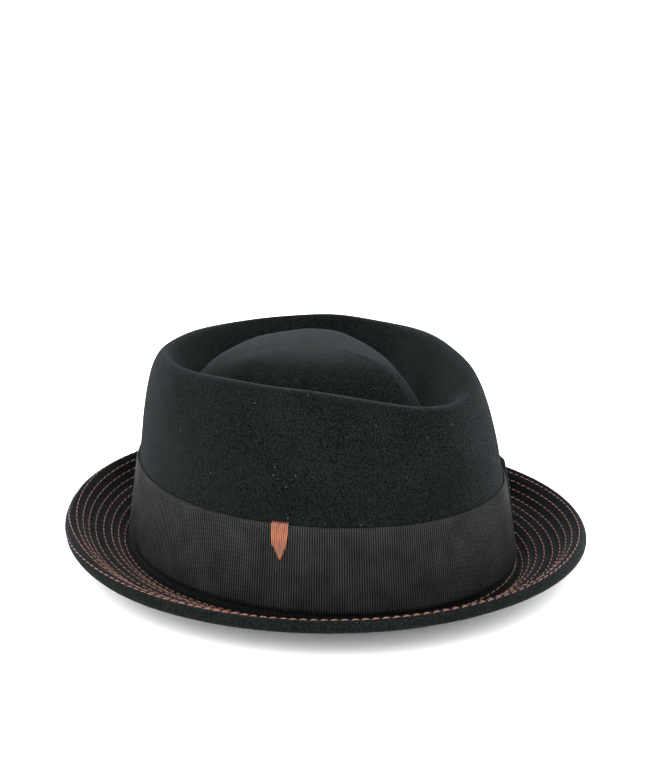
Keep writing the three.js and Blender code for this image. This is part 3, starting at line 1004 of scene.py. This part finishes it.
@dataclass
class HatBand:
    """The wide ribbon round the foot of the crown."""

    oval: HeadOval
    cloth: Grosgrain
    fit_gap: float = 0.3
    height: float = 41.0
    pucker_azimuth: float = -73.2
    pucker_height: float = 20.6
    pucker_depth: float = 0.7
    pucker_radius: float = 1.5
    pucker_stretch: float = 1.6
    fold_reach: float = 14.0
    fold_width: float = 1.6
    fold_height: float = 0.12
    right_slope: float = 0.75
    left_bend: float = 0.02
    left_width: float = 1.8
    small_turn: float = 1e-3

    def path(self, share: np.ndarray) -> tuple[np.ndarray, np.ndarray, np.ndarray]:
        """The ribbon's path, midway between the rings of its two edges on the wall.

        Args:
            share: shares of a turn round the hat.

        Returns:
            The middle of the ribbon, its outward side and its upward direction.
        """
        azimuth = share * 2 * np.pi
        out = self.fit_gap + self.cloth.thickness / 2
        low, high = (self.oval.wall(azimuth, h, out) for h in (0.0, self.height))
        across = unit(high - low)
        turns = (-self.small_turn, self.small_turn)
        before, after = (self.oval.wall(azimuth + turn, self.height / 2, out) for turn in turns)
        beside = unit(after - before)
        return (low + high) / 2, unit(np.cross(beside, across)), across

    def relief(self, share: np.ndarray, across: np.ndarray) -> np.ndarray:
        """The small pucker of a hidden stitch, with two faint folds that run from it.

        The pucker is a dent of exp(-(r / pucker_radius) ** 2), taller than wide. A fold is a ridge of
        exp(-(d / width) ** 2), where d is the height over a line that falls to the right, or over a
        curve that falls to the left. Both fade with exp(-(r / fold_reach) ** 2) from the pucker.

        Args:
            share: shares of a turn round the hat.
            across: millimetres over the ribbon's middle.

        Returns:
            The height of the relief in millimetres.
        """
        azimuth = (share * 360 + 180) % 360 - 180
        along = np.radians(azimuth - self.pucker_azimuth) * self.oval.speed(math.radians(self.pucker_azimuth))
        up = across - (self.pucker_height - self.height / 2)
        across_pucker = along**2 + (up / self.pucker_stretch) ** 2
        dent = -self.pucker_depth * np.exp(-across_pucker / self.pucker_radius**2)
        reach = np.exp(-(along**2 + up**2) / self.fold_reach**2)
        fold_right = np.exp(-(((up + self.right_slope * along) / self.fold_width) ** 2)) * (along > 0)
        fold_left = np.exp(-(((up + self.left_bend * along**2) / self.left_width) ** 2)) * (along < 0)
        return dent + self.fold_height * reach * (fold_right + fold_left)

    def build(self, finish: GrosgrainFinish) -> bpy.types.Object:
        band = self.cloth.strip("ribbon_band", self.path, self.height, self.relief)
        dress(band, finish.material(), Slot.RIBBON, "hat_band")
        around = lengths_along(self.path(np.linspace(0, 1, PATH_SAMPLES))[0])[-1]
        return band


@dataclass
class SideBow:
    """The flat bow: one ribbon folded to a loop, and a strip that goes once round its middle."""

    oval: HeadOval
    cloth: Grosgrain
    band_outside: float = 1.3
    fit_gap: float = 0.3
    azimuth_degrees: float = 70.0
    length: float = 90.0
    margin: float = 1.3
    depth: float = 3.8
    strip_thickness: float = 0.8
    knot_width: float = 13.0
    waist: float = 0.5
    waist_length: float = 13.5
    end_power: float = 0.8
    side_power: float = 0.45
    knot_power: float = 0.28

    @property
    def height(self) -> float:
        """The height of the bow, a margin inside the ribbon's edges."""
        return self.oval.ribbon_height - 2 * self.margin

    def place(self, along: np.ndarray, height: np.ndarray, out: np.ndarray) -> np.ndarray:
        """A place on the wall, counted along the ribbon from the middle of the bow.

        Args:
            along: millimetres towards the front of the hat.
            height: heights over the ribbon's foot.
            out: distances outside the wall.

        Returns:
            Points.
        """
        centre = math.radians(self.azimuth_degrees)
        return self.oval.wall(centre - along / self.oval.speed(centre), height, out)

    def loop_path(self, share: np.ndarray) -> tuple[np.ndarray, np.ndarray, np.ndarray]:
        """The loop's path, a flat rounded oblong drawn in at its waist by the knot.

        along = half length * cos(a) ** end power and out = half depth * sin(a) ** side power, less a
        waist of waist * exp(-(along / waist length) ** 2).

        Args:
            share: shares of a turn round the loop.

        Returns:
            The loop's middle line, its outward side and its upward direction.
        """
        angle = share * 2 * np.pi
        half = self.depth / 2 - self.cloth.thickness / 2
        along = (self.length / 2 - self.cloth.thickness / 2) * signed_power(np.cos(angle), self.end_power)
        drawn = 1 - self.waist * np.exp(-((along / self.waist_length) ** 2))
        middle = self.band_outside + 2 * self.fit_gap + self.strip_thickness + self.depth / 2
        out = middle + half * signed_power(np.sin(angle), self.side_power) * drawn
        height = self.oval.ribbon_height / 2
        line = self.place(along, height, out)
        across = unit(self.place(along, height + 1, out) - self.place(along, height - 1, out))
        ahead = np.roll(line, -1, 0) - np.roll(line, 1, 0)
        return line, unit(np.cross(across, ahead)), across

    def knot_path(self, share: np.ndarray) -> tuple[np.ndarray, np.ndarray, np.ndarray]:
        """The knot's path round the bow, an oblong with cos(a) and sin(a) raised to the knot power.

        Args:
            share: shares of a turn round the knot.

        Returns:
            The knot's middle line, its outward side and its width's direction.
        """
        inner = self.band_outside + self.fit_gap + self.cloth.thickness / 2
        outer = inner + 2 * self.fit_gap + self.depth + self.strip_thickness
        low = self.margin - self.fit_gap - self.strip_thickness / 2
        high = self.oval.ribbon_height - low
        half_out, half_up = (outer - inner) / 2, (high - low) / 2
        angle = share * 2 * np.pi
        out = (inner + outer) / 2 + half_out * signed_power(np.cos(angle), self.knot_power)
        height = (low + high) / 2 + half_up * signed_power(np.sin(angle), self.knot_power)
        line = self.place(np.zeros_like(share), height, out)
        aft, fore = (self.place(np.full_like(share, along), height, out) for along in (-1.0, 1.0))
        across = unit(aft - fore)
        ahead = np.roll(line, -1, 0) - np.roll(line, 1, 0)
        return line, unit(np.cross(ahead, across)), across

    def build(self, finish: GrosgrainFinish) -> list[bpy.types.Object]:
        """Makes the loop and the knot."""
        material = finish.material()
        loop = self.cloth.strip("bow_loop", self.loop_path, self.height)
        dress(loop, material, Slot.RIBBON, "bow_ribbon")
        knot = self.cloth.strip("bow_knot_strip", self.knot_path, self.knot_width)
        dress(knot, material, Slot.RIBBON, "bow_knot")
        strips = ((loop, self.loop_path, self.height), (knot, self.knot_path, self.knot_width))
        for piece, path, width in strips:
            around = lengths_along(path(np.linspace(0, 1, 2 * PATH_SAMPLES))[0])[-1]
        return [loop, knot]


@dataclass
class ThreadTack:
    """The small tapering tack of parallel threads over the ribbon's upper edge."""

    oval: HeadOval
    band_outside: float = 1.3
    azimuth_degrees: float = -69.2
    width: float = 8.7
    length: float = 17.6
    overhang: float = 0.8
    radius: float = 0.44
    taper: float = 0.52
    ply_depth: float = 0.1
    lay: float = 13.0
    taper_power: float = 2.2
    rise_run: float = 1.6
    dip_run: float = 1.3
    tip_run: float = 0.9
    wind_step: float = 1.7
    sides: int = 10
    rings: int = 26

    LENGTHS = (0.66, 0.74, 0.83, 0.92, 0.99, 1.0, 0.97, 0.86, 0.72)

    def build(self, finish: ThreadFinish) -> bpy.types.Object:
        """Makes the threads. Each leaves the felt above the ribbon, comes over its edge and dips in again.

        The threads draw together by 1 - taper * (down / length) ** taper_power, and stand out by
        (run / rise_run) ** 0.6 at the top and (run / dip_run) ** 0.5 at the end.

        Args:
            finish: the thread's finish.

        Returns:
            The tack.
        """
        count = len(self.LENGTHS)
        centre = math.radians(self.azimuth_degrees)
        share = np.linspace(0, 1, self.rings)[None]
        spread = np.linspace(-1, 1, count)[:, None] * (self.width / 2 - self.radius)
        reach = np.array(self.LENGTHS)[:, None] * self.length
        down = share * reach
        narrow = 1 - self.taper * (down / self.length) ** self.taper_power
        along = -spread * narrow
        top = self.oval.ribbon_height + self.overhang
        height = top - down
        near_top = np.clip(down / self.rise_run, 0, 1)
        near_end = np.clip((reach - down) / self.dip_run, 0, 1)
        out = self.band_outside * near_top**0.6 + self.radius * (near_end**0.5 * 1.5 - 0.6)
        azimuth = centre - along / self.oval.speed(centre)
        line = self.oval.wall(azimuth, height, out)
        ahead = unit(np.gradient(line, axis=1))
        up = unit(self.oval.wall(azimuth, height, out + 1) - line)
        aside = unit(np.cross(up, ahead))
        up = np.cross(ahead, aside)
        thick = 0.5 + 0.5 * np.clip(np.minimum(down, reach - down) / self.tip_run, 0, 1) ** 0.5
        wind = 2 * np.pi * down / self.lay + np.arange(count)[:, None] * self.wind_step
        points = strand_rings(line, up, aside, self.radius * thick, wind, self.sides, self.ply_depth)
        tack = strands_object("copper_tack", points, down / self.lay)
        return dress(tack, finish.material(), Slot.THREAD, "thread_tack")


@dataclass(frozen=True)
class SoftBox:
    """A square soft light."""

    name: str
    azimuth: float
    elevation: float
    distance: float
    size: float
    power: float

    def build(self, aim: Vector) -> None:
        """Hangs the light round the hat and turns it to the aim."""
        back = direction(self.azimuth, self.elevation)
        lamp = bpy.data.lights.new(self.name, "AREA")
        lamp.shape, lamp.size, lamp.energy = "SQUARE", self.size, self.power
        holder = bpy.data.objects.new(self.name, lamp)
        holder.location = aim + back * self.distance
        holder.rotation_euler = back.to_track_quat("Z", "Y").to_euler()
        bpy.context.scene.collection.objects.link(holder)


@dataclass
class Studio:
    """The pale floor, the soft lights and the camera at the photograph's angle."""

    azimuth: float = -52.244
    elevation: float = 17.644
    roll: float = -1.115
    distance: float = 924.04
    aim: tuple[float, float, float] = (22.16, 12.55, 79.24)
    focal_pixels: float = 1810.3
    picture_height: int = 776
    clip: tuple[float, float] = (0.05, 60.0)
    sensor: float = 36.0
    floor_size: float = 24.0
    floor_white: float = 0.96
    sky: float = 3.1
    light_aim: tuple[float, float, float] = (0.0, 0.0, 0.05)
    boxes: tuple[SoftBox, ...] = (
        SoftBox("left_box", -125.0, 25.0, 1.3, 0.9, 5.0),
        SoftBox("right_box", 25.0, 30.0, 1.4, 0.9, 2.5),
        SoftBox("front_box", -52.0, 35.0, 1.6, 1.2, 4.0),
    )

    def camera(self) -> None:
        """Places the camera: its back axis points from the aim at the given azimuth and elevation."""
        a, r = math.radians(self.azimuth), math.radians(self.roll)
        back = direction(self.azimuth, self.elevation)
        right = Vector((math.cos(a), math.sin(a), 0.0))
        up = back.cross(right)
        x_axis = right * math.cos(r) + up * math.sin(r)
        y_axis = up * math.cos(r) - right * math.sin(r)
        lens = bpy.data.cameras.new("studio_camera")
        lens.sensor_width = self.sensor
        lens.lens = self.sensor * self.focal_pixels / self.picture_height
        lens.clip_start, lens.clip_end = self.clip
        holder = bpy.data.objects.new("studio_camera", lens)
        turn = Matrix((x_axis, y_axis, back)).transposed().to_4x4()
        turn.translation = (Vector(self.aim) + back * self.distance) * MM
        holder.matrix_world = turn
        bpy.context.scene.collection.objects.link(holder)
        bpy.context.scene.camera = holder

    def floor(self) -> None:
        """Lays the pale floor under the hat."""
        half = self.floor_size / 2 / MM
        corners = np.array([(-half, -half, 0), (half, -half, 0), (half, half, 0), (-half, half, 0)], float)
        sheet = mesh_object("studio_floor", corners, [np.array([[0, 1, 2, 3]])])
        white = (self.floor_white, self.floor_white, self.floor_white, 1.0)
        looks = {"Base Color": white, "Roughness": 0.85, "Specular IOR Level": 0.1}
        sheet.data.materials.append(NodeHand("pale_floor").finished(looks))

    def build(self) -> None:
        """Sets up the studio and a plain colour transform."""
        self.camera()
        self.floor()
        world = bpy.data.worlds.new("studio_sky")
        world.use_nodes = True
        sky = world.node_tree.nodes["Background"]
        sky.inputs["Color"].default_value = (1.0, 1.0, 1.0, 1.0)
        sky.inputs["Strength"].default_value = self.sky
        bpy.context.scene.world = world
        for box in self.boxes:
            box.build(Vector(self.light_aim))
        view = bpy.context.scene.view_settings
        view.view_transform, view.look = "Standard", "None"
        view.exposure, view.gamma = 0.0, 1.0


# The threads' hollow colours are painted shade between the plies.
BRIM_THREAD = ThreadFinish("brim_thread", shaded_hollow=(0.05, 0.015, 0.009, 1.0), crown=(0.175, 0.064, 0.038, 1.0))
TACK_THREAD = ThreadFinish("tack_thread", shaded_hollow=(0.05, 0.011, 0.004, 1.0), crown=(0.23, 0.064, 0.022, 1.0))


def main() -> None:
    """Builds the hat piece by piece, then the studio."""
    logging.basicConfig(level=logging.INFO, format="%(name)s: %(message)s")
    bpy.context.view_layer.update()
    Studio().build()
    oval = HeadOval()
    cloth = Grosgrain()
    ribbon = GrosgrainFinish()
    felt = FeltBody(oval)
    seams = StitchPath()
    felt.build(FeltFinish(), seams)
    BrimStitching(felt, seams).build(BRIM_THREAD)
    HatBand(oval, cloth).build(ribbon)
    SideBow(oval, cloth).build(ribbon)
    ThreadTack(oval).build(TACK_THREAD)


if __name__ == "__main__":
    main()
